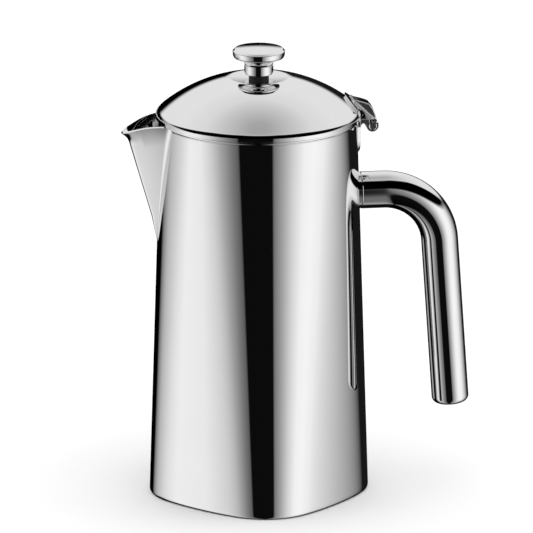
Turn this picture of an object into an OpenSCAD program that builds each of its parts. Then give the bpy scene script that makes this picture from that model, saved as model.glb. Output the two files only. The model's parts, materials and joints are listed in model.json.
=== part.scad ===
// Double-walled steel french press: round at the rim, rounded square at the foot, with a folded
// spout towards -X, a free-ended tube handle and a lift-off lid hinge towards +X, and a plunger
// on the Z axis. Millimetres, with the origin at the centre of the foot.

/* [Pot] */
// Height of the rim above the table
rim_h = 193; // [175:1:205]
// Outer radius of the shell just under the rim
shell_top_r = 48.8; // [48.6:0.1:49.2]
// Distance from the axis to a corner of the foot
foot_reach = 54.9; // [53:0.1:56]
// Corner radius of the foot
foot_corner_r = 30; // [24:1:34]
// Sheet thickness of both walls
wall = 1; // [0.8:0.1:1.2]
// Bore radius of the inner vessel
bore_r = 43.5; // [43:0.1:43.8]
// Height of the vessel's floor
floor_z = 9; // [6:0.5:9]

/* [Spout] */
// Height of the lowest point of the spout's fold
fold_z = 130.4; // [120:1:140]
// Half of the spout's width at the rim
root_half = 16.3; // [14:0.1:18]
// Reach of the pouring lip from the axis
lip_reach = 69.8; // [66:0.1:72]
// Thickness of the spout's sheet
spout_t = 1.2; // [1:0.1:1.4]

/* [Handle] */
// Outer radius of the handle tube
tube_r = 9.25; // [8.5:0.05:9.5]
// Height of the handle's upper arm
arm_z = 153; // [140:1:156]
// Distance from the axis to the start of the bend
arm_end_x = 62.5; // [62:0.5:68]
// Centreline radius of the bend
bend_r = 28.5; // [24:0.5:30]
// Outward lean of the grip in degrees
grip_lean = 4; // [0:0.5:6]
// Length of the grip below the bend, with its end
grip_l = 85.1; // [70:0.1:90]

/* [Lid] */
// Radius of the dome's sphere
dome_r = 77; // [76:1:80]
// Radius of the lid at its rolled edge
lid_r = 51.1; // [51:0.1:52]
// Thickness of the dome
dome_t = 1.2; // [1:0.1:1.4]
// Height of the skirt's lower edge
skirt_z = 180; // [178:1:184]

/* [Hinge] */
// Distance from the axis to the hinge pin
pin_x = 55.7; // [55.5:0.1:56.5]
// Radius of the hinge pin
pin_r = 1.25; // [1:0.05:1.3]
// Width of the hinge leaf
leaf_w = 13.8; // [12:0.2:14]

/* [Plunger] */
// Radius of the plunger rod
rod_r = 2.5; // [2:0.1:3]
// Radius of the plunger over its edge spring
plunger_r = 43.1; // [42.6:0.1:43.2]
// Radius of the knob's cap
knob_r = 13; // [11:0.5:15]
// Radius of the knob's neck
neck_r = 7.2; // [6.5:0.1:8]

/* [Hidden] */
$fn = 96;
HULL_FN = 48;
TINY = 0.01;
GAP = 0.3;         // between pieces on different bodies
FIT = 0.06;        // radial running clearance of the rod in its bushing

// Pot
foot_off = foot_reach - foot_corner_r;
foot_edge = 1.6;   // inset of the rounded foot edge
foot_edge_h = 1.8;
rim_t = 2.5;       // height of the rim ring
rim_z = rim_h - rim_t;
rim_r = shell_top_r + 0.05 + rim_t / 2;
base_t = 1.5;
vessel_r = bore_r + wall;
vessel_round = 5;

// Spout: points on the ridge, from the fold up to the lip
ridge_low = [-(shell_top_r + 1.6), 0, fold_z];
ridge_high = [-(lip_reach - 4.9), 0, rim_h - 12.5];
ridge_neck = [-(lip_reach - 3.6), 0, rim_h - 8.8];
lip_tip = [-lip_reach, 0, rim_h - 6.2];
root_z = rim_h - spout_t / 2;
root_x = -(shell_top_r - 1.8);
fold_in_x = -(vessel_r + 0.7);
root_in_x = -(vessel_r - 1.6);
notch_drop = 2.6;  // how far the notch reaches below the fold
notch_slope = root_half / (root_z - fold_z);

// Handle
tube_t = 1.2;
bend_thinning = 0.02;   // the bend's wall is thinner by this on each side
bend_lap = 0.1;         // how far the straight tubes reach over the bend
ferrule_r = tube_r - 0.1;
ferrule_end = 52.3;
tube_start = ferrule_end + 0.1;
bend_angle = 90 - grip_lean;
bend_end = [arm_end_x + bend_r * sin(bend_angle), arm_z - bend_r + bend_r * cos(bend_angle)];
stud_r = 3;
stud_head_r = 5;
stud_head_t = 1.6;
stud_start = 46.6;
stud_end = 60;
plug_l = 7;
cap_l = 4;              // closed end below the tube
cap_round = 3.2;
cap_plug_l = 4;
tube_l = grip_l - cap_l;

// Lid
lid_edge_r = 1.2;
dome_z = rim_h + 0.39 + lid_edge_r
    - sqrt(pow(dome_r - lid_edge_r, 2) - pow(lid_r - lid_edge_r, 2));
edge_z = dome_z + sqrt(pow(dome_r - lid_edge_r, 2) - pow(lid_r - lid_edge_r, 2));
dome_top = dome_z + dome_r;
skirt_r = bore_r - 0.7;
skirt_t = 1;
slots = 7;
slot_w = 2.4;
slot_step = 7;     // degrees between the strainer slots
bush_r = 5;
bush_flange_r = 9;

// Hinge
pin_z = rim_h - 4.6;
eye_r = 3.15;
ear_t = 2;
ear_y = leaf_w / 2 + 0.4;
pin_half = ear_y + ear_t + GAP;
pin_head_r = 2;
pin_head_t = 0.9;
strap_half = 6;
strap_low = rim_h - 14.4;
strap_top = rim_z - GAP;
arch_r = 1.2;      // underside of the arm between the strap and the pin
strap_out = 50.4;
ear_top = rim_h - 1.2;
leaf_t = 2;         // plate on the dome
leaf_in = 42.9;     // inner edge of the plate, an arc that bows towards the knob
leaf_arc = 38;
lug_w = 9.2;

// Plunger, stacked upwards from the end of the rod
rod_low = floor_z + 1;
nut_t = 2.4;
cross_z = rod_low + 0.4 + nut_t;
cross_t = 1;
screen_z = cross_z + cross_t;
screen_t = 0.5;
plate_z = screen_z + screen_t;
plate_t = 0.8;
coil_r = 1.35;
plate_r = plunger_r - 2 * coil_r - 0.1;
collar_z = plate_z + plate_t;
collar_t = 6;
rod_top = knob_z() + 6;
knob_h = 13.3;

// Height of the underside of the knob, just clear of the dome
function knob_z() = dome_top + GAP;

// ---- shared shapes ----

// The four corner discs of the foot
module foot_discs(r, z, h) {
    for (a = [0:90:270])
        rotate(a) translate([foot_off, 0, z]) cylinder(r = r, h = h, $fn = HULL_FN);
}

// The pot's outside drawn in by inset, and carried past both ends by extra
module pot_solid(inset = 0, extra = 0) {
    hull() {
        translate([0, 0, rim_z - TINY]) cylinder(r = shell_top_r - inset, h = TINY + extra, $fn = HULL_FN);
        foot_discs(foot_corner_r - inset, foot_edge_h, TINY);
        foot_discs(foot_corner_r - inset - foot_edge, -extra, TINY);
    }
}

// The V-shaped opening that the spout folds into, cut through both walls and the rim
module spout_notch() {
    low = fold_z - notch_drop;
    top = rim_h + 2;
    half = (top - low) * notch_slope;
    translate([-shell_top_r - 6, 0, 0]) rotate([90, 0, 90])
        linear_extrude(shell_top_r - 24) polygon([[0, low], [half, top], [-half, top]]);
}

// A flat piece of sheet between the given points
module sheet(points) {
    hull() for (p = points) translate(p) sphere(d = spout_t, $fn = 16);
}

// A tube along +Z
module ring(r_out, r_in, h) {
    difference() {
        cylinder(r = r_out, h = h);
        translate([0, 0, -TINY]) cylinder(r = r_in, h = h + 2 * TINY);
    }
}

// Lays an XZ outline out along Y, centred
module across(width) {
    translate([0, width / 2, 0]) rotate([90, 0, 0]) linear_extrude(width) children();
}

// ---- pot ----

module outer_shell() color("silver") difference() {
    pot_solid();
    pot_solid(wall, TINY);
    spout_notch();
    translate([0, 0, arm_z]) rotate([0, 90, 0]) cylinder(r = stud_r + 0.05, h = foot_reach);
}

module inner_vessel() color("gainsboro") difference() {
    rotate_extrude() difference() {
        union() {
            translate([0, floor_z - wall]) square([vessel_r - vessel_round, vessel_round]);
            translate([0, floor_z - wall + vessel_round])
                square([vessel_r, rim_z - floor_z + wall - vessel_round]);
            translate([vessel_r - vessel_round, floor_z - wall + vessel_round]) circle(r = vessel_round);
        }
        translate([0, floor_z]) square([bore_r - vessel_round + wall, vessel_round]);
        translate([0, floor_z - wall + vessel_round]) square([bore_r, rim_h]);
        translate([vessel_r - vessel_round, floor_z - wall + vessel_round])
            circle(r = vessel_round - wall);
    }
    spout_notch();
}

module base_plate() color("silver") hull() {
    foot_discs(foot_corner_r - wall - foot_edge - 0.1, 0, base_t);
}

module rim_ring() color("silver") difference() {
    rotate_extrude() {
        translate([bore_r, rim_z]) square([rim_r - rim_t / 2 - bore_r, rim_t]);
        translate([rim_r - rim_t / 2, rim_z + rim_t / 2]) circle(d = rim_t);
    }
    spout_notch();
}

module spout() color("silver") {
    for (side = [-1, 1]) {
        root = [root_x, side * root_half, root_z];
        sheet([ridge_low, ridge_high, root]);
        sheet([ridge_high, ridge_neck, root]);
        sheet([ridge_neck, lip_tip, root]);
        sheet([ridge_low, [fold_in_x, 0, fold_z], root, [root_in_x, side * root_half, root_z]]);
    }
}

// ---- handle ----

module handle_ferrule() color("silver") difference() {
    translate([foot_reach - 10, 0, arm_z]) rotate([0, 90, 0])
        cylinder(r = ferrule_r, h = ferrule_end - foot_reach + 10);
    pot_solid();
    translate([0, 0, arm_z]) rotate([0, 90, 0]) cylinder(r = stud_r + 0.05, h = foot_reach);
}

// Moves to the end of the bend, with +Z pointing down the grip
module at_grip() {
    translate([bend_end[0], 0, bend_end[1]]) rotate([0, 90 + bend_angle, 0]) children();
}

module handle_tube() color("silver") {
    translate([tube_start, 0, arm_z]) rotate([0, 90, 0])
        ring(tube_r, tube_r - tube_t, arm_end_x - tube_start + bend_lap);
    translate([arm_end_x, 0, arm_z - bend_r]) rotate([90, 0, 0]) rotate(90 - bend_angle)
        rotate_extrude(angle = bend_angle) translate([bend_r, 0]) difference() {
            circle(r = tube_r - bend_thinning);
            circle(r = tube_r - tube_t + bend_thinning);
        }
    at_grip() translate([0, 0, -bend_lap]) ring(tube_r, tube_r - tube_t, tube_l + bend_lap);
}

module handle_end_cap() color("silver") at_grip() translate([0, 0, tube_l]) rotate_extrude() {
    translate([0, -cap_plug_l]) square([tube_r - tube_t, cap_plug_l + TINY]);
    square([tube_r, cap_l - cap_round]);
    translate([0, cap_l - cap_round - TINY]) {
        square([tube_r - cap_round, cap_round + TINY]);
        intersection() {
            translate([tube_r - cap_round, TINY]) circle(r = cap_round);
            square([tube_r, cap_round + TINY]);
        }
    }
}

module handle_plug() color("gray") translate([tube_start, 0, arm_z]) rotate([0, 90, 0])
    ring(tube_r - tube_t, stud_r, plug_l);

module handle_stud() color("gray") translate([stud_start, 0, arm_z]) rotate([0, 90, 0]) {
    cylinder(r = stud_r, h = stud_end - stud_start);
    cylinder(r = stud_head_r, h = stud_head_t);
}

// ---- hinge ----

module hinge_bracket() color("silver") {
    difference() {
        union() {
            translate([strap_out - 5, -strap_half, strap_low])
                cube([5, 2 * strap_half, strap_top - strap_low]);
            translate([strap_out - 5, 0, strap_low]) rotate([0, 90, 0])
                cylinder(r = strap_half, h = 5);
            // Cross bar that carries both ears
            translate([strap_out - 2, -ear_y - ear_t, strap_top - 4])
                cube([2, 2 * (ear_y + ear_t), 4]);
        }
        pot_solid();
    }
    for (side = [-1, 1])
        translate([0, side * (ear_y + ear_t / 2), 0]) across(ear_t) ear_outline();
}

// An arm out from the strap, ending in a hook that is open upwards for the pin
module ear_outline() {
    slot_half = pin_r + GAP;
    arch_x = (strap_out + pin_x - eye_r) / 2;
    difference() {
        union() {
            translate([strap_out - 0.5, pin_z]) square([pin_x - strap_out + 0.5, ear_top - pin_z]);
            translate([pin_x, pin_z]) circle(r = eye_r);
        }
        translate([arch_x, pin_z]) circle(r = arch_r);
        translate([pin_x, pin_z]) circle(r = slot_half);
        translate([pin_x - slot_half, pin_z]) square([2 * eye_r, eye_r + 5]);
    }
    // Outer lip of the hook
    translate([pin_x + slot_half, pin_z]) square([eye_r - slot_half - 0.1, 1.5]);
}

// The leaf's sheet, from the plate over the lid's edge and down to the eye
module leaf_outline() {
    polygon([[lid_r - 4.1, rim_h + 5], [lid_r + 0.2, rim_h + 1], [pin_x - eye_r + 0.1, pin_z + 0.5],
        [pin_x - 1, pin_z - 1], [pin_x + 1, pin_z - 1], [pin_x + eye_r - 0.2, pin_z + 1.2],
        [pin_x + 0.8, pin_z + 3.6], [pin_x - 2.5, rim_h + 1.7], [lid_r - 0.6, rim_h + 4.4],
        [lid_r - 4.1, rim_h + 7.3]]);
}

// The raised lug on the sheet
module lug_outline() {
    polygon([[lid_r - 3.1, rim_h + 5.5], [lid_r + 0.9, rim_h + 1.8], [pin_x, pin_z + 2.5],
        [pin_x + eye_r - 0.3, pin_z + 2], [pin_x + 0.9, rim_h + 3], [pin_x - 0.9, rim_h + 5.4],
        [lid_r + 0.4, rim_h + 7], [lid_r - 2.5, rim_h + 7]]);
}

module hinge_leaf() color("silver") difference() {
    union() {
        across(leaf_w) leaf_outline();
        across(lug_w) lug_outline();
        translate([pin_x, 0, pin_z]) rotate([90, 0, 0]) cylinder(r = eye_r, h = leaf_w, center = true);
        // Lens-shaped plate that follows the dome
        intersection() {
            translate([0, 0, dome_z]) sphere(r = dome_r + leaf_t, $fn = 240);
            translate([0, 0, edge_z]) cylinder(r = lid_r - 1.6, h = lid_r);
            translate([leaf_in + leaf_arc, 0, edge_z]) cylinder(r = leaf_arc, h = lid_r);
        }
    }
    translate([pin_x, 0, pin_z]) rotate([90, 0, 0])
        cylinder(r = pin_r, h = leaf_w + 2, center = true);
    intersection() {
        translate([0, 0, dome_z]) sphere(r = dome_r, $fn = 240);
        translate([0, -lid_r / 2, edge_z - 0.5]) cube([lid_r + 5, lid_r, lid_r]);
    }
    translate([0, 0, rim_h]) cylinder(r = lid_r + 0.1, h = edge_z - rim_h + 1);
}

module hinge_pin() color("gainsboro") translate([pin_x, 0, pin_z]) rotate([90, 0, 0]) {
    cylinder(r = pin_r, h = 2 * pin_half, center = true);
    for (side = [-1, 1])
        translate([0, 0, side * (pin_half + pin_head_t / 2)])
            cylinder(r = pin_head_r, h = pin_head_t, center = true);
}

// ---- lid ----

module lid_dome() color("silver") rotate_extrude() {
    edge_angle = asin((lid_r - lid_edge_r) / (dome_r - lid_edge_r));
    reach = 2 * dome_r;
    translate([0, dome_z]) intersection() {
        difference() {
            circle(r = dome_r);
            circle(r = dome_r - dome_t);
        }
        difference() {
            polygon([[0, 0], [0, reach], [reach * sin(edge_angle), reach * cos(edge_angle)]]);
            square([bush_r, reach]);
        }
    }
    translate([lid_r - lid_edge_r, edge_z]) circle(r = lid_edge_r);
}

module lid_skirt() color("gainsboro") difference() {
    intersection() {
        translate([0, 0, skirt_z]) ring(skirt_r, skirt_r - skirt_t, dome_top - skirt_z);
        translate([0, 0, dome_z]) sphere(r = dome_r - dome_t);
    }
    for (i = [0:slots - 1])
        rotate(180 + (i - (slots - 1) / 2) * slot_step)
            translate([skirt_r - skirt_t - 1, -slot_w / 2, skirt_z + 3])
                cube([skirt_t + 2, slot_w, rim_h - skirt_z - 4]);
}

module rod_bushing() color("dimgray") rotate_extrude() difference() {
    union() {
        translate([0, dome_top - 11]) square([bush_r, 11]);
        translate([0, dome_top - 5]) square([bush_flange_r, 2.5]);
    }
    translate([0, dome_top - 12]) square([rod_r + FIT, 13]);
}

// ---- plunger ----

module knob() color("silver") translate([0, 0, knob_z()]) rotate_extrude() polygon([
    [rod_r + FIT, 0], [neck_r, 0], [neck_r, 4.5], [neck_r - 0.2, 4.8], [neck_r + 1.05, 6],
    [neck_r + 2.8, 6.9], [knob_r - 1.15, 7.8], [knob_r - 0.4, 8.5], [knob_r, 9.7], [knob_r, knob_h - 1.4],
    [knob_r - 0.5, knob_h - 0.7], [knob_r - 5, knob_h - 0.15], [0, knob_h],
    [0, rod_top + 0.2 - knob_z()], [rod_r + FIT, rod_top + 0.2 - knob_z()]]);

module plunger_rod() color("silver") translate([0, 0, rod_low]) cylinder(r = rod_r, h = rod_top - rod_low);

module rod_collar() color("silver") translate([0, 0, collar_z]) rotate_extrude() {
    polygon([[rod_r, 0], [8, 0], [8, 2], [5, 3.5], [5, collar_t - 0.6], [4.4, collar_t], [rod_r, collar_t]]);
}

// A disc with rings of round holes; each ring is [radius, count, hole radius]
module drilled_disc(r, z, t, rings) {
    difference() {
        translate([0, 0, z]) ring(r, rod_r, t);
        for (row = rings, i = [0:row[1] - 1])
            rotate(i * 360 / row[1]) translate([row[0], 0, z - 1]) cylinder(r = row[2], h = t + 2, $fn = 24);
    }
}

module pressure_plate() color("silver")
    drilled_disc(plate_r, plate_z, plate_t, [[14, 8, 2.6], [23, 14, 2.6], [32, 20, 2.6]]);

module edge_spring() color("silver") translate([0, 0, plate_z + coil_r])
    rotate_extrude() translate([plunger_r - coil_r, 0]) circle(r = coil_r);

module mesh_screen() color("gray") translate([0, 0, screen_z]) ring(plunger_r - 0.3, rod_r, screen_t);

module cross_plate() color("silver") difference() {
    translate([0, 0, cross_z]) ring(plunger_r - 3, rod_r, cross_t);
    for (a = [0:60:300])
        rotate(a) translate([0, 0, cross_z - 1]) rotate(7) rotate_extrude(angle = 46)
            translate([12, 0]) square([plunger_r - 19, cross_t + 2]);
}

module lock_nut() color("silver") translate([0, 0, cross_z - nut_t]) difference() {
    cylinder(r = 5, h = nut_t, $fn = 6);
    translate([0, 0, -1]) cylinder(r = rod_r, h = nut_t + 2);
}

outer_shell();
inner_vessel();
base_plate();
rim_ring();
spout();
handle_ferrule();
handle_tube();
handle_end_cap();
handle_plug();
handle_stud();
hinge_bracket();
lid_dome();
lid_skirt();
rod_bushing();
hinge_leaf();
hinge_pin();
knob();
plunger_rod();
rod_collar();
pressure_plate();
edge_spring();
mesh_screen();
cross_plate();
lock_nut();
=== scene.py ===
"""Looks of a double-walled steel french press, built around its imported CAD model.

Metres throughout. The pot's axis is Z, the spout points to -X, and the handle and hinge to +X.
"""

import json
import math

import bpy
import numpy as np
from mathutils import Matrix, Vector

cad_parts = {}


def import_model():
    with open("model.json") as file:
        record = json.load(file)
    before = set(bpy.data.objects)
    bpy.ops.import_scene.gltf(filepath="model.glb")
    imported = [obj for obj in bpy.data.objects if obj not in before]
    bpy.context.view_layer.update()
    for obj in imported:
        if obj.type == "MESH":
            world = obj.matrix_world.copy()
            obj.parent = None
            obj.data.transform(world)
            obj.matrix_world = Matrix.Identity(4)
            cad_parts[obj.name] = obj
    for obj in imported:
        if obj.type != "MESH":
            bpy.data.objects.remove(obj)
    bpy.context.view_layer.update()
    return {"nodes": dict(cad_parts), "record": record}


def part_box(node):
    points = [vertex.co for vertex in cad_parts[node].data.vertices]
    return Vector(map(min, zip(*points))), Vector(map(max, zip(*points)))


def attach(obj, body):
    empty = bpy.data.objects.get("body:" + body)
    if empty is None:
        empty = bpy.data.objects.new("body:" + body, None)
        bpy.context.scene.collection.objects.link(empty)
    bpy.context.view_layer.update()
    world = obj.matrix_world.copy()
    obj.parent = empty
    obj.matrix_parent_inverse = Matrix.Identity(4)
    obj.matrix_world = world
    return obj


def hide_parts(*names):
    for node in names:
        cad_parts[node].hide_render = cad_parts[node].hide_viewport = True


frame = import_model()

MM = 0.001

# ---- sizes read from the CAD model ----

RING_LOW, RING_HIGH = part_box("rim_ring")
SHELL_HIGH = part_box("outer_shell")[1]
SPOUT_LOW, SPOUT_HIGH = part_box("spout")
TUBE_LOW, TUBE_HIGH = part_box("handle_tube")
CAP_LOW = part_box("handle_end_cap")[0]
DOME_LOW, DOME_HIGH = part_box("lid_dome")
KNOB_LOW, KNOB_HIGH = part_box("knob")
LEAF_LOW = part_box("hinge_leaf")[0]
PIN_LOW, PIN_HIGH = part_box("hinge_pin")
BRACKET_LOW, BRACKET_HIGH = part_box("hinge_bracket")
SPRING_LOW, SPRING_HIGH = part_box("edge_spring")
VESSEL_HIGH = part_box("inner_vessel")[1]

RIM_H = RING_HIGH.z
RIM_T = RING_HIGH.z - RING_LOW.z
RIM_R = RING_HIGH.x
SHELL_TOP_R = RIM_R - RIM_T / 2 - 0.05 * MM
SHELL_TOP = SHELL_HIGH.z
FOOT_REACH = SHELL_HIGH.x
FOOT_CORNER_R = 30 * MM
FOOT_ROUND = 1.8 * MM
WALL = 1.0 * MM
VESSEL_R = VESSEL_HIGH.x
BORE_R = VESSEL_R - WALL

# Spout: fold, lip and rounding
FOLD_Z = SPOUT_LOW.z + 0.6 * MM
LIP_REACH = -SPOUT_LOW.x - 0.6 * MM
ROOT_HALF = SPOUT_HIGH.y - 0.6 * MM
SPOUT_T = 1.1 * MM
# The walls would meet this far short of the lip's reach, and below the rim
LIP_SETBACK, LIP_DROP = 2.9 * MM, 7.7 * MM
# Rounding of the ridge at the fold, what is added at the lip, and the share that sets the ridge out
RIDGE_SOFT, RIDGE_SOFT_LIP, RIDGE_CUT = 2.8 * MM, 2.0 * MM, 0.41
WALL_BOW = 0.5 * MM
# Flare of the lip: outwards at the tip, outwards along its sides, and upwards
LIP_FLARE, LIP_BOW, LIP_RISE = 3.4 * MM, 1.6 * MM, 2.0 * MM
CREASE = 2.6 * MM         # soft turn into the shell, at the rim

TUBE_R = TUBE_HIGH.y
ARM_Z = TUBE_HIGH.z - TUBE_R
TUBE_T = 1.2 * MM
TUBE_START = 51.0 * MM    # where the collar ends and the tube begins
GRIP_LEAN = math.radians(4.0)
ARM_END = 62.5 * MM
BEND_R = 28.5 * MM

PIN = Vector(((PIN_LOW.x + PIN_HIGH.x) / 2, 0, (PIN_LOW.z + PIN_HIGH.z) / 2))
PIN_R = 1.25 * MM
EYE_R = 3.15 * MM         # barrel and hooks round the pin
LEAF_EYE_W = 13.8 * MM
LUG_W = 9.2 * MM

DOME_R = 77 * MM
DOME_T = 1.2 * MM
LID_R = DOME_HIGH.x
LID_EDGE = 1.2 * MM
DISH_R = 15.5 * MM
DISH_EDGE = 1.2 * MM
DISH_DEPTH = 1.9 * MM

AROUND = 256        # segments round a large revolved piece


# ---- mesh helpers ----

def piece(name, verts, faces, body, slot, replaces=(), sharp=30):
    """A named mesh that rides on a CAD body, smooth except over edges sharper than the angle."""
    mesh = bpy.data.meshes.new(name)
    mesh.from_pydata([tuple(v) for v in verts], [], faces)
    mesh.validate()
    mesh.update()
    obj = bpy.data.objects.new(name, mesh)
    bpy.context.scene.collection.objects.link(obj)
    mesh.shade_smooth()
    mesh.set_sharp_from_angle(angle=math.radians(sharp))
    mesh.materials.append(MATERIALS[slot])
    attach(obj, body)
    if replaces:
        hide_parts(*replaces)
    return obj


def arc(cx, cz, r, start, end, steps):
    """Points on an arc in a profile; angles in degrees, anticlockwise from +r."""
    out = []
    for i in range(steps + 1):
        a = math.radians(start + (end - start) * i / steps)
        out.append((cx + r * math.cos(a), cz + r * math.sin(a)))
    return out


def grid_faces(rows, columns, wrap_rows=False, wrap_columns=False, flip=False):
    """Quads over a grid of points stored row by row."""
    faces = []
    for i in range(rows if wrap_rows else rows - 1):
        for j in range(columns if wrap_columns else columns - 1):
            a = i * columns + j
            b = i * columns + (j + 1) % columns
            c = ((i + 1) % rows) * columns + (j + 1) % columns
            d = ((i + 1) % rows) * columns + j
            faces.append((a, d, c, b) if flip else (a, b, c, d))
    return faces


def lathe(profile, steps=AROUND, turn=None):
    """Revolves a closed (r, z) profile, listed anticlockwise, about Z.
    turn = (start, end) in radians leaves a gap with closed ends."""
    full = turn is None
    start, end = turn or (0, 2 * math.pi)
    count = steps if full else steps + 1
    verts = []
    for i in range(count):
        a = start + (end - start) * i / steps
        verts += [Vector((r * math.cos(a), r * math.sin(a), z)) for r, z in profile]
    faces = grid_faces(count, len(profile), wrap_rows=full, wrap_columns=True, flip=True)
    if not full:
        n = len(profile)
        faces.append(tuple(range(n)))
        faces.append(tuple(range((count - 1) * n, count * n))[::-1])
    return verts, faces


def lathe_solid(profile, steps=AROUND):
    """Revolves an open (r, z) profile that starts and ends on the axis, listed from low to high."""
    inner = profile[1:-1]
    n = len(inner)
    verts = []
    for i in range(steps):
        a = 2 * math.pi * i / steps
        verts += [Vector((r * math.cos(a), r * math.sin(a), z)) for r, z in inner]
    faces = grid_faces(steps, n, wrap_rows=True, flip=True)
    low, high = len(verts), len(verts) + 1
    verts += [Vector((0, 0, profile[0][1])), Vector((0, 0, profile[-1][1]))]
    for i in range(steps):
        j = (i + 1) % steps
        faces.append((low, j * n, i * n))
        faces.append((high, i * n + n - 1, j * n + n - 1))
    return verts, faces


def prism(outline, width, y=0.0, taper=None):
    """An XZ outline, listed anticlockwise seen from -Y, given a width along Y about y.
    taper = (x, slope) widens it by the slope for each metre short of x."""
    n = len(outline)
    until, slope = taper or (0, 0)
    halves = [(width + slope * max(until - x, 0)) / 2 for x, _ in outline]
    verts = [Vector((x, y - half, z)) for (x, z), half in zip(outline, halves)]
    verts += [Vector((x, y + half, z)) for (x, z), half in zip(outline, halves)]
    faces = [tuple(range(n)), tuple(range(2 * n - 1, n - 1, -1))]
    faces += [(i, i + n, (i + 1) % n + n, (i + 1) % n) for i in range(n)]
    return verts, faces


def bevel(obj, width, segments=3, angle=30):
    """Rounds a piece's edges."""
    mod = obj.modifiers.new("rounded_edges", "BEVEL")
    mod.width = width
    mod.segments = segments
    mod.limit_method = "ANGLE"
    mod.angle_limit = math.radians(angle)
    mod.harden_normals = False
    smooth = obj.modifiers.new("even_shading", "WEIGHTED_NORMAL")
    smooth.keep_sharp = True


# ---- materials ----

def new_material(name):
    mat = bpy.data.materials.new(name)
    mat.use_nodes = True
    nodes = mat.node_tree.nodes
    shader = nodes["Principled BSDF"]
    return mat, nodes, mat.node_tree.links, shader


def coordinates(nodes, links, scale=(1, 1, 1)):
    where = nodes.new("ShaderNodeTexCoord")
    mapping = nodes.new("ShaderNodeMapping")
    mapping.inputs["Scale"].default_value = scale
    links.new(where.outputs["Object"], mapping.inputs["Vector"])
    return mapping.outputs["Vector"]


def noise(nodes, links, vector, scale, detail=3.0):
    tex = nodes.new("ShaderNodeTexNoise")
    tex.inputs["Scale"].default_value = scale
    tex.inputs["Detail"].default_value = detail
    links.new(vector, tex.inputs["Vector"])
    return tex.outputs["Fac"]


def spread(nodes, links, value, low, high):
    """Maps 0..1 to low..high."""
    remap = nodes.new("ShaderNodeMapRange")
    remap.inputs["To Min"].default_value = low
    remap.inputs["To Max"].default_value = high
    links.new(value, remap.inputs["Value"])
    return remap.outputs["Result"]


def bump(nodes, links, shader, height, strength, distance):
    node = nodes.new("ShaderNodeBump")
    node.inputs["Strength"].default_value = strength
    node.inputs["Distance"].default_value = distance
    links.new(height, node.inputs["Height"])
    links.new(node.outputs["Normal"], shader.inputs["Normal"])


def tint(nodes, links, shader, value, dark, light):
    ramp = nodes.new("ShaderNodeValToRGB")
    ramp.color_ramp.elements[0].color = (*dark, 1)
    ramp.color_ramp.elements[1].color = (*light, 1)
    links.new(value, ramp.inputs["Fac"])
    links.new(ramp.outputs["Color"], shader.inputs["Base Color"])


def polished_steel():
    """Mirror finish: a trace of polishing haze and the faint waviness of drawn sheet."""
    mat, nodes, links, shader = new_material("polished_steel")
    shader.inputs["Metallic"].default_value = 1.0
    where = coordinates(nodes, links)
    haze = noise(nodes, links, where, 60.0)
    links.new(spread(nodes, links, haze, 0.015, 0.05), shader.inputs["Roughness"])
    tint(nodes, links, shader, haze, (0.83, 0.83, 0.835), (0.87, 0.87, 0.87))
    bump(nodes, links, shader, noise(nodes, links, where, 25.0, 1.0), 0.03, 0.0002)
    return mat


def brushed_steel(name, dark, light, rough, stretch):
    """Satin finish with fine lines running across the stretched direction."""
    mat, nodes, links, shader = new_material(name)
    shader.inputs["Metallic"].default_value = 1.0
    where = coordinates(nodes, links, stretch)
    lines = noise(nodes, links, where, 900.0, 4.0)
    links.new(spread(nodes, links, lines, rough - 0.07, rough + 0.08), shader.inputs["Roughness"])
    tint(nodes, links, shader, lines, dark, light)
    bump(nodes, links, shader, lines, 0.15, 0.00005)
    return mat


def woven_screen():
    """Wire cloth: two crossed sets of fine wires."""
    mat, nodes, links, shader = new_material("screen_mesh")
    shader.inputs["Metallic"].default_value = 1.0
    shader.inputs["Roughness"].default_value = 0.32
    where = coordinates(nodes, links)
    heights = []
    for direction in ("X", "Y"):
        wires = nodes.new("ShaderNodeTexWave")
        wires.bands_direction = direction
        wires.inputs["Scale"].default_value = 600.0
        links.new(where, wires.inputs["Vector"])
        heights.append(wires.outputs["Fac"])
    both = nodes.new("ShaderNodeMath")
    both.operation = "MAXIMUM"
    links.new(heights[0], both.inputs[0])
    links.new(heights[1], both.inputs[1])
    tint(nodes, links, shader, both.outputs["Value"], (0.08, 0.08, 0.08), (0.72, 0.72, 0.71))
    bump(nodes, links, shader, both.outputs["Value"], 0.6, 0.0001)
    return mat


def bushing_plastic():
    """Black nylon with a fine moulded grain."""
    mat, nodes, links, shader = new_material("bushing_plastic")
    where = coordinates(nodes, links)
    grain = noise(nodes, links, where, 1500.0)
    links.new(spread(nodes, links, grain, 0.4, 0.6), shader.inputs["Roughness"])
    tint(nodes, links, shader, grain, (0.012, 0.012, 0.013), (0.03, 0.03, 0.032))
    bump(nodes, links, shader, grain, 0.2, 0.00005)
    return mat


MATERIALS = {
    "polished_steel": polished_steel(),
    "satin_steel": brushed_steel(
        "satin_steel", (0.50, 0.50, 0.49), (0.68, 0.68, 0.67), rough=0.3, stretch=(1, 1, 0.03)),
    "plunger_steel": brushed_steel(
        "plunger_steel", (0.62, 0.62, 0.61), (0.78, 0.78, 0.77), rough=0.18, stretch=(0.05, 1, 1)),
    "screen_mesh": woven_screen(),
    "bushing_plastic": bushing_plastic(),
}


# ---- body shell ----

FLAT = (FOOT_REACH - FOOT_CORNER_R) * math.sqrt(2)   # length of the foot's straighter sides
FLAT_SPREAD = 16    # degrees of turn that each of those sides is spread over, either way


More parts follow.
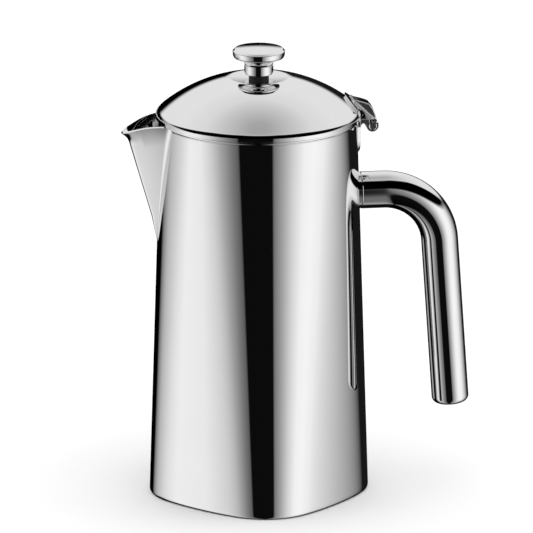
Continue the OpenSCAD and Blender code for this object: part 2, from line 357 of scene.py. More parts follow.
def foot_section():
    """The foot's outline by the angle of its normal, over a full turn: angles, x and y.
    The corners point along X and Y, and the sides between them are slightly bowed."""
    steps = 1440
    turn = np.linspace(0, 2 * math.pi, steps * 4 + 1)
    from_side = np.degrees(np.abs((turn % (math.pi / 2)) - math.pi / 4))
    ease = np.where(from_side < FLAT_SPREAD, 1 + np.cos(np.pi * from_side / FLAT_SPREAD), 0)
    ease *= FLAT / (2 * math.radians(FLAT_SPREAD))
    bend = FOOT_CORNER_R + ease
    step = turn[1]
    x = -np.cumsum(bend * np.sin(turn)) * step
    y = np.cumsum(bend * np.cos(turn)) * step
    x -= (x.max() + x.min()) / 2
    y -= (y.max() + y.min()) / 2
    return turn, x, y


FOOT_TURN, FOOT_X, FOOT_Y = foot_section()
FOOT_SCALE = FOOT_REACH / FOOT_X.max()


def shell_section(z, inset=0.0):
    """The shell's outline at height z, as polar angles and distances over a full turn."""
    down = min(max((SHELL_TOP - z) / (SHELL_TOP - FOOT_ROUND), 0), 1)
    drop = inset
    if z < FOOT_ROUND:
        drop += FOOT_ROUND - math.sqrt(FOOT_ROUND**2 - (FOOT_ROUND - z) ** 2)
    radius = SHELL_TOP_R * (1 - down) - drop
    x = FOOT_X * FOOT_SCALE * down + radius * np.cos(FOOT_TURN)
    y = FOOT_Y * FOOT_SCALE * down + radius * np.sin(FOOT_TURN)
    return np.unwrap(np.arctan2(y, x)), np.hypot(x, y)


SECTIONS = {}


def shell_reach(angle, z, inset=0.0):
    """Distance from the axis to the shell's surface in a direction, at height z."""
    key = (round(z, 7), inset)
    if key not in SECTIONS:
        SECTIONS[key] = shell_section(z, inset)
    polar, reach = SECTIONS[key]
    return float(np.interp(angle % (2 * math.pi), polar, reach))


def shell_x(y, z):
    """x of the shell's surface on the handle side, at a given y and z."""
    x = SHELL_TOP_R
    for _ in range(12):
        x = math.sqrt(max(shell_reach(math.atan2(y, x), z) ** 2 - y * y, 0))
    return x


ROOT_Z = RIM_H - 0.6 * MM
NOTCH_SLOPE = ROOT_HALF / (ROOT_Z - FOLD_Z)


def notch_half(z):
    """Half-width of the opening that the spout covers, at height z."""
    return max(z - FOLD_Z, 0) * NOTCH_SLOPE


def notch_angle(z, inset=0.0):
    """Angle either side of -X that the opening takes out of the shell at height z."""
    angle = 0.0
    for _ in range(8):
        angle = math.asin(notch_half(z) / shell_reach(math.pi + angle, z, inset))
    return angle


def crease_width(z):
    """Width of the soft turn between the spout's wall and the shell."""
    return CREASE * min(max((z - FOLD_Z) / (ROOT_Z - FOLD_Z), 0), 1)


def body_shell():
    """The polished outer wall: round at the rim, a rounded square at the foot."""
    columns = 320
    spare = math.radians(60)
    foot = [FOOT_ROUND * (1 - math.cos(math.radians(a))) for a in range(0, 91, 15)]
    heights = foot[:-1] + [FOOT_ROUND + (SHELL_TOP - FOOT_ROUND) * i / 110 for i in range(111)]
    heights.append(FOLD_Z)
    heights.sort()

    def row(z, inset):
        out = []
        gap = notch_angle(z, inset) + crease_width(z) / SHELL_TOP_R
        for j in range(columns + 1):
            a = 2 * math.pi * j / columns
            if a < spare:
                a = gap + a * (spare - gap) / spare
            elif a > 2 * math.pi - spare:
                a = 2 * math.pi - gap - (2 * math.pi - a) * (spare - gap) / spare
            turn = math.pi + a
            reach = shell_reach(turn, z, inset)
            out.append(Vector((reach * math.cos(turn), reach * math.sin(turn), z)))
        return out

    outside = [row(z, 0.0) for z in heights]
    inside = [row(z, WALL) for z in reversed(heights)]
    rows = outside + inside
    verts = [v for r in rows for v in r]
    faces = grid_faces(len(rows), columns + 1, wrap_rows=True)
    # Close the two notch edges between the outer and the inner face, row by row
    total = len(heights)
    for i in range(total - 1):
        if heights[i + 1] <= FOLD_Z:
            continue
        for j, flip in ((0, False), (columns, True)):
            a = i * (columns + 1) + j
            b = (i + 1) * (columns + 1) + j
            c = (len(rows) - 2 - i) * (columns + 1) + j
            d = (len(rows) - 1 - i) * (columns + 1) + j
            faces.append((a, b, c, d) if flip else (a, d, c, b))
    obj = piece("body_shell", verts, faces, "pot", "polished_steel", ("outer_shell",))
    weld = obj.modifiers.new("join_seam", "WELD")
    weld.merge_threshold = 0.002 * MM


body_shell()


def rim():
    """The rolled ring that closes the two walls at the top."""
    low, half = RING_LOW.z, RIM_T * 0.36
    bead = RIM_R - half
    groove = SHELL_TOP_R - 0.5 * MM
    edge = 0.4 * MM
    profile = [(groove, low), (groove, RIM_H - 2 * half - 0.1 * MM)]
    profile += arc(bead, RIM_H - half, half, -100, 90, 20) + [(BORE_R + edge, RIM_H)]
    profile += arc(BORE_R + edge, RIM_H - edge, edge, 90, 180, 5)[1:] + [(BORE_R, low)]
    gap = math.asin(notch_half(RIM_H) / bead) + crease_width(RIM_H) / bead
    verts, faces = lathe(profile, AROUND, (-math.pi + gap, math.pi - gap))
    piece("rim_ring_rolled", verts, faces, "pot", "polished_steel", ("rim_ring",))


rim()


# ---- spout ----

def spout_soft(v):
    """How far the rounding of the ridge reaches along each wall."""
    return RIDGE_SOFT + RIDGE_SOFT_LIP * v**5


def spout_rib(v):
    """A point on the line where the spout's walls would meet; v runs from the fold (0) to the lip (1)."""
    low = Vector((-shell_reach(math.pi, FOLD_Z) - 0.3 * MM, 0, FOLD_Z))
    high = Vector((-(LIP_REACH - LIP_SETBACK), 0, RIM_H - LIP_DROP))
    point = low.lerp(high, v)
    point.x -= RIDGE_CUT * (spout_soft(v) - spout_soft(0))
    return point


def spout_root(v, side):
    """A point on the line where the spout's wall leaves the shell."""
    z = FOLD_Z + (ROOT_Z - FOLD_Z) * v
    turn = math.pi - side * notch_angle(min(z, SHELL_TOP))
    y = side * notch_half(z)
    reach = shell_reach(turn, min(z, SHELL_TOP))
    return Vector((-math.sqrt(reach * reach - y * y), y, z))


def spout_wall(v, side, u):
    """A point on one wall; u runs from the ridge (0) to the shell (1)."""
    p = spout_rib(v).lerp(spout_root(v, side), u)
    bow = 4 * u * (1 - u)
    outward = Vector((-1, side * 1.5 * min(u / 0.3, 1), 0)).normalized()
    # A gentle outward bow all the way up, and a flared edge at the lip
    p += outward * WALL_BOW * bow * v**2
    spread_from = 0.05 + 0.09 * min(u / 0.4, 1)
    t = max((v - 1 + spread_from) / spread_from, 0)
    p += outward * (LIP_FLARE * (1 - u) ** 3 + LIP_BOW * bow) * t**2
    p.z += LIP_RISE * bow * t**2
    return p


def bezier(a, b, c, steps):
    """Points after a and before c on the curve that leaves a and reaches c along the lines to b."""
    out = []
    for k in range(1, steps):
        t = k / steps
        out.append(a * (1 - t) ** 2 + b * 2 * t * (1 - t) + c * t * t)
    return out


def spout():
    """Folded sheet: two walls over a rounded ridge, turned softly into the shell at each side and
    carried in to the inner vessel."""
    rows, wall_steps, fold_steps, crease_steps, in_steps = 90, 28, 10, 8, 4
    grid = []
    for i in range(rows + 1):
        v = 0.004 + 0.996 * (i / rows) ** 0.85
        width = (spout_root(v, 1) - spout_rib(v)).length
        soft = min(spout_soft(v) / width, 0.45)
        halves = []
        for side in (-1, 1):
            root = spout_root(v, side)
            z = min(root.z, SHELL_TOP)
            crease = crease_width(z)
            last = 1 - min(crease / width, 0.4)
            wall = [spout_wall(v, side, soft + (last - soft) * j / wall_steps)
                    for j in range(wall_steps + 1)]
            turn = math.pi - side * (notch_angle(z) + crease / SHELL_TOP_R)
            reach = shell_reach(turn, z)
            land = Vector((reach * math.cos(turn), reach * math.sin(turn), root.z))
            wall += bezier(wall[-1], root, land, crease_steps) + [land]
            to_x = -math.sqrt((VESSEL_R + 0.2 * MM) ** 2 - land.y**2)
            wall += [Vector((land.x + (to_x - land.x) * k / in_steps, land.y, land.z))
                     for k in range(1, in_steps + 1)]
            halves.append(wall)
        fold = bezier(halves[0][0], spout_wall(v, 1, 0), halves[1][0], fold_steps)
        grid.append(halves[0][::-1] + fold + halves[1])
    verts = [p for row in grid for p in row]
    faces = grid_faces(len(grid), len(grid[0]), flip=True)
    obj = piece("pouring_spout", verts, faces, "pot", "polished_steel", ("spout",), 50)
    thick = obj.modifiers.new("sheet", "SOLIDIFY")
    thick.thickness = SPOUT_T
    thick.offset = -1.0
    thick.use_even_offset = True
    lip = obj.modifiers.new("rounded_lip", "BEVEL")
    lip.width = 0.4 * MM
    lip.segments = 3
    lip.limit_method = "ANGLE"
    lip.angle_limit = math.radians(60)


spout()


# ---- handle ----

def handle_frame(distance):
    """Centre and direction of the handle tube at a distance along its centreline."""
    arm = ARM_END - TUBE_START
    bend_angle = math.pi / 2 - GRIP_LEAN
    bend = BEND_R * bend_angle
    centre = Vector((ARM_END, 0, ARM_Z - BEND_R))
    if distance <= arm:
        return Vector((TUBE_START + distance, 0, ARM_Z)), Vector((1, 0, 0))
    a = min((distance - arm) / BEND_R, bend_angle)
    point = centre + BEND_R * Vector((math.sin(a), 0, math.cos(a)))
    direction = Vector((math.cos(a), 0, -math.sin(a)))
    if distance > arm + bend:
        point += direction * (distance - arm - bend)
    return point, direction


def handle_tube():
    """The bent tube, open where it meets the ferrule and closed by its end cap."""
    around = 96
    edge = 0.25 * MM
    arm = ARM_END - TUBE_START
    bend = BEND_R * (math.pi / 2 - GRIP_LEAN)
    start, _ = handle_frame(arm + bend)
    grip_drop = start.z - TUBE_LOW.z - TUBE_R * math.sin(GRIP_LEAN)
    grip = grip_drop / math.cos(GRIP_LEAN)
    stops = [edge, 1 * MM] + [arm * i / 8 for i in range(2, 9)]
    stops += [arm + bend * i / 48 for i in range(1, 49)]
    stops += [arm + bend + grip * i / 20 for i in range(1, 21)]
    side = Vector((0, 1, 0))

    def ring_at(distance, radius):
        centre, direction = handle_frame(distance)
        up = direction.cross(side)
        return [centre + radius * (math.cos(a) * up + math.sin(a) * side)
                for a in (2 * math.pi * k / around for k in range(around))]

    rows = [ring_at(0, TUBE_R - edge)] + [ring_at(s, TUBE_R) for s in stops]
    rows += [ring_at(s, TUBE_R - TUBE_T) for s in reversed([0] + stops)]
    verts = [p for r in rows for p in r]
    faces = grid_faces(len(rows), around, wrap_rows=True, wrap_columns=True, flip=True)
    piece("handle_tube_bent", verts, faces, "pot", "polished_steel", ("handle_tube",))
    return handle_frame(stops[-1])


def handle_cap(end, direction):
    """Closed lower end of the grip with a rounded edge."""
    edge, longest = 3.2 * MM, 4 * MM
    depth = (end.z - CAP_LOW.z - (TUBE_R - edge) * math.sin(GRIP_LEAN)) / math.cos(GRIP_LEAN)
    depth = min(depth, longest)
    plug_r, plug_l = TUBE_R - TUBE_T - 0.05 * MM, 4 * MM
    profile = [(0, -plug_l), (plug_r, -plug_l), (plug_r, 0), (TUBE_R, 0)]
    profile += arc(TUBE_R - edge, depth - edge, edge, 0, 80, 14)
    profile += [(4 * MM, depth + 0.04 * MM), (0, depth + 0.06 * MM)]
    verts, faces = lathe_solid(profile, 96)
    place = Matrix.Translation(end) @ direction.to_track_quat("Z", "Y").to_matrix().to_4x4()
    verts = [place @ v for v in verts]
    piece("handle_end_cap_rounded", verts, faces, "pot", "polished_steel", ("handle_end_cap",))


handle_cap(*handle_tube())


def ferrule():
    """Short collar between the shell and the tube, shaped to the shell at its inner end."""
    around = 96
    outer, inner, edge = TUBE_R - 0.1 * MM, 3.05 * MM, 0.35 * MM
    end = TUBE_START - 0.1 * MM
    rows = []
    # No x means on the shell
    for radius, x in ((inner, None), (outer, None), (outer, end - edge), (outer - edge, end), (inner, end)):
        row = []
        for k in range(around):
            a = 2 * math.pi * k / around
            y, z = radius * math.cos(a), ARM_Z + radius * math.sin(a)
            row.append(Vector((shell_x(y, z) + 0.02 * MM if x is None else x, y, z)))
        rows.append(row)
    verts = [p for r in rows for p in r]
    faces = grid_faces(len(rows), around, wrap_rows=True, wrap_columns=True)
    piece("handle_collar", verts, faces, "pot", "polished_steel", ("handle_ferrule",))


ferrule()


# ---- lid ----

def sink(r):
    """Depth of the shallow dish round the knob, below the dome's sphere."""
    if r >= DISH_R + DISH_EDGE:
        return 0.0
    inner = min(r, DISH_R - DISH_EDGE)
    depth = DISH_DEPTH * (1 - (inner / DISH_R) ** 2)
    if r > inner:
        # Eased crest between the dish and the sphere
        t = (DISH_R + DISH_EDGE - r) / (2 * DISH_EDGE)
        slope = 2 * DISH_DEPTH * inner / DISH_R**2 * 2 * DISH_EDGE
        depth = depth * (3 * t**2 - 2 * t**3) + slope * (t**3 - t**2)
    return depth


def dome():
    """Domed lid: one sphere down to a rounded shoulder and a small rolled edge."""
    edge_r = LID_R - LID_EDGE
    edge_z = DOME_LOW.z + LID_EDGE
    centre = edge_z - math.sqrt((DOME_R - LID_EDGE) ** 2 - edge_r**2)
    edge_angle = math.degrees(math.atan2(edge_z - centre, edge_r))
    bore = 5 * MM
    top = math.degrees(math.acos(bore / DOME_R))
    under = math.degrees(math.acos(bore / (DOME_R - DOME_T)))
    shoulder = 5.0 * MM
    # The shoulder touches the sphere and the lid's full radius
    hub_r = LID_R - shoulder
    hub_z = centre + math.sqrt((DOME_R - shoulder) ** 2 - hub_r**2)
    blend = math.degrees(math.atan2(hub_z - centre, hub_r))
    profile = [(edge_r - 0.9 * MM, edge_z - 0.5 * MM)]
    profile += arc(edge_r, edge_z - 0.1 * MM, LID_EDGE - 0.1 * MM, 215, 350, 14)
    profile += [(LID_R, edge_z + 0.2 * MM)]
    profile += arc(hub_r, hub_z, shoulder, 0, blend, 16)
    crown = arc(0, centre, DOME_R, blend, top, 90)[1:]
    crown += arc(0, centre, DOME_R - DOME_T, under, edge_angle + 1.0, 90)
    profile += [(r, z - sink(r)) for r, z in crown]
    verts, faces = lathe(profile, 320)
    piece("lid_dome_polished", verts, faces, "lid", "polished_steel", ("lid_dome",))
    return centre


DOME_CENTRE = dome()


def knob():
    """Turned knob: a straight neck, a cove under the cap, and a slightly crowned top."""
    z = KNOB_LOW.z
    cap = KNOB_HIGH.x
    neck = 7.2 * MM
    rod_bore = 2.56 * MM
    profile = [(rod_bore, z + 6 * MM), (rod_bore, z), (neck - 0.2 * MM, z), (neck, z + 0.2 * MM)]
    profile += [(neck, z + 4.3 * MM), (neck - 0.12 * MM, z + 4.45 * MM), (neck - 0.35 * MM, z + 4.5 * MM)]
    profile += arc(neck + 3.3 * MM, z + 4.0 * MM, 3.65 * MM, 172, 112, 12)
    profile += [(cap - 1.5 * MM, z + 7.95 * MM)]
    profile += arc(cap - 1.9 * MM, z + 9.7 * MM, 1.75 * MM, -68, -8, 10)
    profile += [(cap, z + 11.3 * MM)]
    profile += arc(cap - 0.45 * MM, z + 11.4 * MM, 0.45 * MM, 0, 75, 6)
    crown_r = 95 * MM
    crown_z = KNOB_HIGH.z - crown_r
    crown_edge = math.degrees(math.asin((cap - 0.5 * MM) / crown_r))
    profile += arc(0, crown_z, crown_r, 90 - crown_edge, 90, 24)[1:]
    profile = [(0, z + 6 * MM)] + profile
    verts, faces = lathe_solid(profile, 192)
    piece("knob_turned", verts, faces, "knob", "polished_steel", ("knob",))


knob()


# ---- hinge ----

def hinge_plate():
    """Lens-shaped plate that follows the dome, between an inner arc and the lid's rim."""
    inner_x, inner_arc = LEAF_LOW.x + 0.3 * MM, 34 * MM
    rim_r, thick = LID_R - 1.6 * MM, 1.0 * MM
    top_curve = 0.85    # how much of the dome's curve across the plate its top face keeps
    corner_x = (rim_r**2 + (inner_x + inner_arc) ** 2 - inner_arc**2) / (2 * (inner_x + inner_arc))
    corner_y = math.sqrt(rim_r**2 - corner_x**2)
    across, along = 40, 8
    outline = []
    for side in (0, 1):
        for k in range(across):
            y = corner_y * math.sin(math.pi * (k / across - 0.5)) * (1 if side else -1)
            if side:
                x = math.sqrt(rim_r**2 - y * y)
            else:
                x = inner_x + inner_arc - math.sqrt(inner_arc**2 - y * y)
            outline.append((x, y))
    middle = (inner_x + rim_r) / 2

    def on_dome(x, y, radius, curve):
        return Vector((x, y, DOME_CENTRE + math.sqrt(radius**2 - x * x - (curve * y) ** 2)))

    verts, faces = [], []
    count = len(outline)
    for radius, curve in ((DOME_R + 0.02 * MM, 1.0), (DOME_R + thick, top_curve)):
        for k in range(along):
            f = 1 - k / along
            verts += [on_dome(middle + (x - middle) * f, y * f, radius, curve) for x, y in outline]
        verts.append(on_dome(middle, 0, radius, curve))
    layer = count * along + 1
    for top in (0, 1):
        base = top * layer
        for k in range(along - 1):
            for j in range(count):
                a, b = base + k * count + j, base + k * count + (j + 1) % count
                quad = (a, b, b + count, a + count)
                faces.append(quad if top else quad[::-1])
        k = base + (along - 1) * count
        for j in range(count):
            tri = (k + j, k + (j + 1) % count, base + layer - 1)
            faces.append(tri if top else tri[::-1])
    faces += [(j, (j + 1) % count, layer + (j + 1) % count, layer + j) for j in range(count)]
    obj = piece("hinge_plate", verts, faces, "lid", "polished_steel", ("hinge_leaf",))
    bevel(obj, 0.35 * MM, 3, 40)


hinge_plate()


def hinge_tongue():
    """Sheet from the plate over the rim to the barrel round the pin, with a raised thumb lug."""
    under = [(LID_R - 5.5 * MM, RIM_H + 6.2 * MM), (LID_R - 1.2 * MM, RIM_H + 3.2 * MM)]
    under += [(LID_R + 0.9 * MM, RIM_H + 1.2 * MM), (PIN.x - EYE_R + 0.1 * MM, PIN.z + 1 * MM)]
    around_pin = arc(PIN.x, PIN.z, EYE_R - 0.1 * MM, 180, 365, 26)
    top = [(PIN.x + EYE_R - 0.5 * MM, PIN.z + 1.7 * MM), (PIN.x + 1.3 * MM, PIN.z + 3.1 * MM)]
    top += [(PIN.x - 0.4 * MM, PIN.z + 4.4 * MM), (PIN.x - 2.5 * MM, RIM_H + 1.9 * MM)]
    top += [(LID_R - 0.6 * MM, RIM_H + 4.6 * MM), (LID_R - 4.1 * MM, RIM_H + 7.5 * MM)]
    verts, faces = prism(under + around_pin + top, LEAF_EYE_W - 0.6 * MM, 0, (PIN.x - 1.5 * MM, 0.2))
    obj = piece("hinge_tongue", verts, faces, "lid", "polished_steel")
    bevel(obj, 0.35 * MM, 4, 25)
    # Thumb lug
    lug = [(LID_R - 4.7 * MM, RIM_H + 7.7 * MM), (LID_R + 0.9 * MM, RIM_H + 1.8 * MM)]
    lug += [(PIN.x, PIN.z + 2.5 * MM), (PIN.x + EYE_R - 0.4 * MM, PIN.z + 2 * MM)]
    lug += [(PIN.x + 2.1 * MM, PIN.z + 4.6 * MM), (PIN.x + 0.9 * MM, RIM_H + 3 * MM)]
    lug += [(PIN.x - 0.9 * MM, RIM_H + 5.2 * MM), (LID_R + 0.4 * MM, RIM_H + 6.4 * MM)]
    lug += [(LID_R - 2.0 * MM, RIM_H + 7.05 * MM)]
    verts, faces = prism(lug, LUG_W)
    obj = piece("hinge_lug", verts, faces, "lid", "polished_steel")
    bevel(obj, 0.5 * MM, 4, 25)
    # Barrel round the pin
    half, edge = LEAF_EYE_W / 2, 0.35 * MM
    profile = [(PIN_R, -half), (EYE_R - edge, -half), (EYE_R, -half + edge), (EYE_R, half - edge),
               (EYE_R - edge, half), (PIN_R, half)]
    verts, faces = lathe(profile, 64)
    place = Matrix.Translation(PIN) @ Matrix.Rotation(math.pi / 2, 4, "X")
    piece("hinge_barrel", [place @ v for v in verts], faces, "lid", "polished_steel")


hinge_tongue()


def hinge_bracket():
    """Strap on the shell with an arm out to an open hook at each end of the pin."""
    half, out = 7.4 * MM, BRACKET_LOW.x + 1.7 * MM
    top, low = BRACKET_HIGH.z, BRACKET_LOW.z
    slant = 0.85        # width of the strap's outer face against its foot on the shell
    outline = [(half, top), (-half, top)]
    outline += [(half * math.cos(a), low + half + half * math.sin(a))
                for a in (math.pi + math.pi * k / 24 for k in range(25))]
    inner = [Vector((shell_x(y, z) + 0.02 * MM, y, z)) for y, z in outline]
    outer = [Vector((out, y * slant, max(z, low + half) + slant * min(z - low - half, 0)))
             for y, z in outline]
    n = len(outline)
    verts = inner + outer
    faces = [tuple(range(n, 2 * n))[::-1], tuple(range(n))]
    faces += [(i, i + n, (i + 1) % n + n, (i + 1) % n) for i in range(n)]
    strap = piece("hinge_strap", verts, faces, "pot", "polished_steel", ("hinge_bracket",))
    bevel(strap, 0.9 * MM, 6, 50)
    # Cross bar that carries both ears
    bar_t, bar_h = 2 * MM, 4 * MM
    ear_low, ear_high = LEAF_EYE_W / 2 + 0.4 * MM, LEAF_EYE_W / 2 + 2.4 * MM
    bar = [Vector((x, y, z)) for x in (out - bar_t, out) for y in (-ear_high, ear_high)
           for z in (top - bar_h, top)]
    faces = [(0, 1, 3, 2), (4, 6, 7, 5), (0, 4, 5, 1), (2, 3, 7, 6), (0, 2, 6, 4), (1, 5, 7, 3)]
    cross = piece("hinge_cross_bar", bar, faces, "pot", "polished_steel")
    bevel(cross, 0.5 * MM, 4, 50)
    # Ears: an arm with a rounded arch under it, and a hook open upwards
    slot, lip = PIN_R + 0.3 * MM, 1.5 * MM
    arch_r, arch_x = 1.2 * MM, (out + PIN.x - EYE_R) / 2
    ear_top = RIM_H - 1.2 * MM
    hook = [(out - 0.5 * MM, ear_top), (out - 0.5 * MM, PIN.z)]
    hook += arc(arch_x, PIN.z, arch_r, 170, 10, 12)
    hook += arc(PIN.x, PIN.z, EYE_R, 190, 365, 24)
    hook += [(PIN.x + EYE_R - 0.2 * MM, PIN.z + lip), (PIN.x + slot, PIN.z + lip)]
    hook += arc(PIN.x, PIN.z, slot, 0, -180, 16)
    hook += [(PIN.x - slot, ear_top)]
    for side in (-1, 1):
        y = side * (ear_low + ear_high) / 2
        verts, faces = prism(hook, ear_high - ear_low, y)
        name = "hinge_ear_front" if side < 0 else "hinge_ear_back"
        ear = piece(name, verts, faces, "pot", "polished_steel")
        bevel(ear, 0.25 * MM)


hinge_bracket()


def hinge_pin():
    """The hinge pin with its headed ends."""
    half = PIN_HIGH.y
    head_r, face_r, head_t, edge = 2 * MM, 1.6 * MM, 0.9 * MM, 0.35 * MM
    profile = [(0, -half), (face_r, -half), (head_r, -half + edge), (head_r, -half + head_t)]
    profile += [(PIN_R, -half + head_t), (PIN_R, half - head_t), (head_r, half - head_t)]
    profile += [(head_r, half - edge), (face_r, half), (0, half)]
    verts, faces = lathe_solid(profile, 48)
    place = Matrix.Translation(PIN) @ Matrix.Rotation(math.pi / 2, 4, "X")
    piece("hinge_pin_headed", [place @ v for v in verts], faces, "lid", "polished_steel", ("hinge_pin",))


hinge_pin()


# ---- plunger ----

def edge_spring():
    """A fine wire coil bent into a circle round the plunger's edge."""
    wire = 0.35 * MM
    outer = SPRING_HIGH.x
    coil = (SPRING_HIGH.z - SPRING_LOW.z) / 2
    ring, middle = outer - coil, (SPRING_HIGH.z + SPRING_LOW.z) / 2
    turns, per_turn, around = 236, 14, 6
    count = turns * per_turn
    centres = []
    for i in range(count):
        a = 2 * math.pi * i / count
        b = a * turns
        r = ring + (coil - wire) * math.cos(b)
        centres.append(Vector((r * math.cos(a), r * math.sin(a), middle + (coil - wire) * math.sin(b))))
    verts = []
    for i, p in enumerate(centres):
        along = (centres[(i + 1) % count] - centres[i - 1]).normalized()
        a = 2 * math.pi * i / count
        hub = Vector((ring * math.cos(a), ring * math.sin(a), middle))
        out = (p - hub).normalized()
        side = along.cross(out).normalized()
        out = side.cross(along)
        for k in range(around):
            c = 2 * math.pi * k / around
            verts.append(p + wire * (math.cos(c) * out + math.sin(c) * side))
    faces = grid_faces(count, around, wrap_rows=True, wrap_columns=True, flip=True)
    piece("edge_spring_coil", verts, faces, "plunger", "plunger_steel", ("edge_spring",), 80)


edge_spring()


# ---- CAD nodes that keep their shape ----

def finish_cad_nodes():
    """Gives every CAD node the material of its slot."""
    slots = {entry["node"]: entry["material_slot"] for entry in frame["record"]["subparts"]}
    for name, obj in frame["nodes"].items():
        obj.data.materials.clear()
        obj.data.materials.append(MATERIALS[slots[name]])


finish_cad_nodes()


# ---- stage, light and camera ----

def floor():
    """A wide pale disc that the press stands on."""
    radius, segments = 14.0, 96
    level = -0.05 * MM    # just under the foot
    verts = [Vector((0, 0, level))]
    for k in range(segments):
        a = 2 * math.pi * k / segments
        verts.append(Vector((radius * math.cos(a), radius * math.sin(a), level)))
    faces = [(0, k + 1, (k + 1) % segments + 1) for k in range(segments)]
    mesh = bpy.data.meshes.new("floor")
    mesh.from_pydata(verts, [], faces)
    obj = bpy.data.objects.new("floor", mesh)
    bpy.context.scene.collection.objects.link(obj)
    mat, _, _, shader = new_material("pale_floor")
    shader.inputs["Base Color"].default_value = (0.94, 0.94, 0.94, 1)
    shader.inputs["Roughness"].default_value = 0.7
    shader.inputs["Specular IOR Level"].default_value = 0.0
    mesh.materials.append(mat)
    obj.visible_glossy = False


floor()

# Camera: direction from the press, distance and aim in metres, and lens in millimetres
VIEW_AZIMUTH = math.radians(-7.6)
VIEW_ELEVATION = math.radians(16.0)
VIEW_DISTANCE = 4.5
VIEW_LENS = 610.5
VIEW_RIGHT = 0.0038
VIEW_HEIGHT = 0.1153

# Studio, as (degrees, brightness): azimuths from the camera, positive to its right, and elevations
SIDE_BOXES = (
    (-141, 0.0), (-135, 0.22), (-122, 0.52), (-104, 0.74), (-87, 1.0), (-72, 0.95), (-59, 0.72),
    (-46, 0.43), (-33, 0.22), (-24.5, 0.12), (-22.5, 0.004), (15.5, 0.004), (17.5, 0.19), (30, 0.45),
    (42, 0.76), (55, 1.02), (68, 1.07), (83, 0.99), (99, 0.69), (118, 0.3), (131, 0.01))
SIDE_HEIGHT = ((-90, 0.3), (-60, 0.55), (-30, 1.0), (14, 1.0), (20, 0.0))
OVERHEAD = ((10, 0.85), (40, 0.88), (58, 0.80), (72, 0.60), (84, 0.44), (90, 0.42))
# Lower edge of the overhead light, as (azimuth, elevation), and the half-width of its soft border
OVERHEAD_EDGE = (
    (-180, 12), (-150, 12), (-125, 18), (-107, 34), (-80, 58), (-40, 68), (40, 68), (80, 58), (107, 34),
    (125, 18), (150, 12), (180, 12))
OVERHEAD_BORDER = 4
# The left rear is dark low down, where the spout's ridge looks
SHADE_BEHIND = ((-112, 1.0), (-96, 0.0))
SHADE_BELOW = ((-27, 1.0), (-20, 0.0))


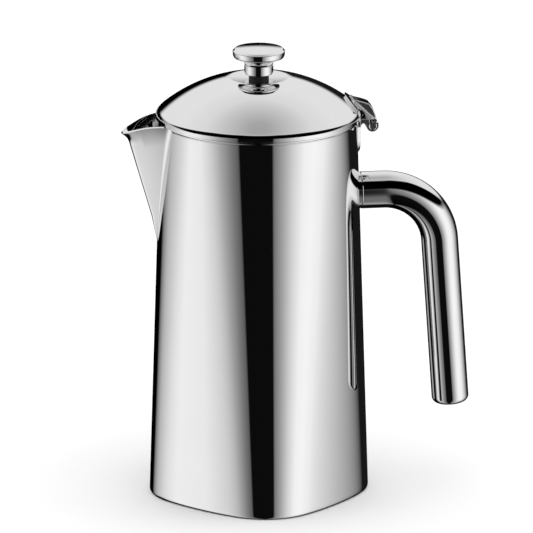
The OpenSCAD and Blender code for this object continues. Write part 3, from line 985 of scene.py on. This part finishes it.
def world():
    """Studio seen by the steel: softboxes at both sides and overhead, dark in front and behind.
    The camera itself and dull surfaces see even white."""
    scene = bpy.context.scene
    scene.world = bpy.data.worlds.new("studio")
    scene.world.use_nodes = True
    nodes, links = scene.world.node_tree.nodes, scene.world.node_tree.links
    background = nodes["Background"]
    where = nodes.new("ShaderNodeTexCoord")
    turn = nodes.new("ShaderNodeMapping")
    turn.vector_type = "POINT"
    turn.inputs["Rotation"].default_value = (0, 0, -VIEW_AZIMUTH)
    links.new(where.outputs["Generated"], turn.inputs["Vector"])
    split = nodes.new("ShaderNodeSeparateXYZ")
    links.new(turn.outputs["Vector"], split.inputs["Vector"])

    def maths(kind, a, b=None):
        node = nodes.new("ShaderNodeMath")
        node.operation = kind
        for k, value in enumerate((a, b)):
            if value is None:
                continue
            if isinstance(value, (int, float)):
                node.inputs[k].default_value = value
            else:
                links.new(value, node.inputs[k])
        return node.outputs["Value"]

    def ramp(value, stops):
        node = nodes.new("ShaderNodeValToRGB")
        node.color_ramp.interpolation = "LINEAR"
        elements = node.color_ramp.elements
        for k, (place, level) in enumerate(stops):
            element = elements[k] if k < 2 else elements.new(place)
            element.position = place
            element.color = (level, level, level, 1)
        links.new(value, node.inputs["Fac"])
        return node.outputs["Color"]

    # Azimuth as 0..1 over -180..180 degrees, and height as 0..1 over -90..90 degrees
    backwards = maths("MULTIPLY", split.outputs["Y"], -1)
    around = maths("ARCTAN2", split.outputs["X"], backwards)
    azimuth = maths("ADD", maths("DIVIDE", around, 2 * math.pi), 0.5)
    height = maths("ADD", maths("DIVIDE", maths("ARCSINE", split.outputs["Z"]), math.pi), 0.5)

    def at(degrees):
        return degrees / 360 + 0.5

    def up(degrees):
        return degrees / 180 + 0.5

    side = ramp(azimuth, [(at(a), level) for a, level in SIDE_BOXES])
    side_height = ramp(height, [(up(e), level) for e, level in SIDE_HEIGHT])
    overhead = ramp(height, [(up(e), level) for e, level in OVERHEAD])
    edge = ramp(azimuth, [(at(a), up(e)) for a, e in OVERHEAD_EDGE])
    over = nodes.new("ShaderNodeMapRange")
    over.interpolation_type = "SMOOTHSTEP"
    over.inputs["From Min"].default_value = -OVERHEAD_BORDER / 180
    over.inputs["From Max"].default_value = OVERHEAD_BORDER / 180
    links.new(maths("SUBTRACT", height, edge), over.inputs["Value"])
    above = over.outputs["Result"]
    behind = ramp(azimuth, [(at(a), level) for a, level in SHADE_BEHIND])
    beneath = ramp(height, [(up(e), level) for e, level in SHADE_BELOW])
    unshaded = maths("SUBTRACT", 1.0, maths("MULTIPLY", behind, beneath))
    side = maths("MULTIPLY", maths("MULTIPLY", side, unshaded), side_height)
    from_side = maths("MULTIPLY", maths("SUBTRACT", 1.0, above), side)
    lit = maths("ADD", maths("MULTIPLY", above, overhead), from_side)
    seen = nodes.new("ShaderNodeLightPath")
    plain = nodes.new("ShaderNodeMix")
    plain.data_type = "FLOAT"
    even = maths("MAXIMUM", seen.outputs["Is Camera Ray"], seen.outputs["Is Diffuse Ray"])
    links.new(even, plain.inputs["Factor"])
    links.new(lit, plain.inputs["A"])
    plain.inputs["B"].default_value = 1.0
    links.new(plain.outputs["Result"], background.inputs["Strength"])
    background.inputs["Color"].default_value = (1, 1, 1, 1)


world()


def area_light(name, place, size, power):
    """A softbox that lights the floor and dull surfaces, aimed at the press."""
    data = bpy.data.lights.new(name, "AREA")
    data.shape = "DISK"
    data.size = size
    data.energy = power
    obj = bpy.data.objects.new(name, data)
    bpy.context.scene.collection.objects.link(obj)
    obj.location = place
    aim = Vector((0, 0, 0.1)) - Vector(place)
    obj.rotation_mode = "QUATERNION"
    obj.rotation_quaternion = aim.to_track_quat("-Z", "Y")
    obj.visible_glossy = False


area_light("overhead_softbox", place=(0.3, -0.4, 2.6), size=2.4, power=18)


def camera():
    """Long lens from a little above, turned slightly towards the spout."""
    data = bpy.data.cameras.new("camera")
    data.lens = VIEW_LENS
    data.sensor_width = 36
    data.clip_start, data.clip_end = 0.05, 60
    obj = bpy.data.objects.new("camera", data)
    bpy.context.scene.collection.objects.link(obj)
    right = Vector((math.cos(VIEW_AZIMUTH), math.sin(VIEW_AZIMUTH), 0))
    back = Vector((math.sin(VIEW_AZIMUTH) * math.cos(VIEW_ELEVATION),
                   -math.cos(VIEW_AZIMUTH) * math.cos(VIEW_ELEVATION), math.sin(VIEW_ELEVATION)))
    target = right * VIEW_RIGHT + Vector((0, 0, VIEW_HEIGHT))
    obj.location = target + back * VIEW_DISTANCE
    obj.rotation_mode = "QUATERNION"
    obj.rotation_quaternion = (-back).to_track_quat("-Z", "Y")
    bpy.context.scene.camera = obj


camera()
bpy.context.scene.view_settings.view_transform = "Standard"
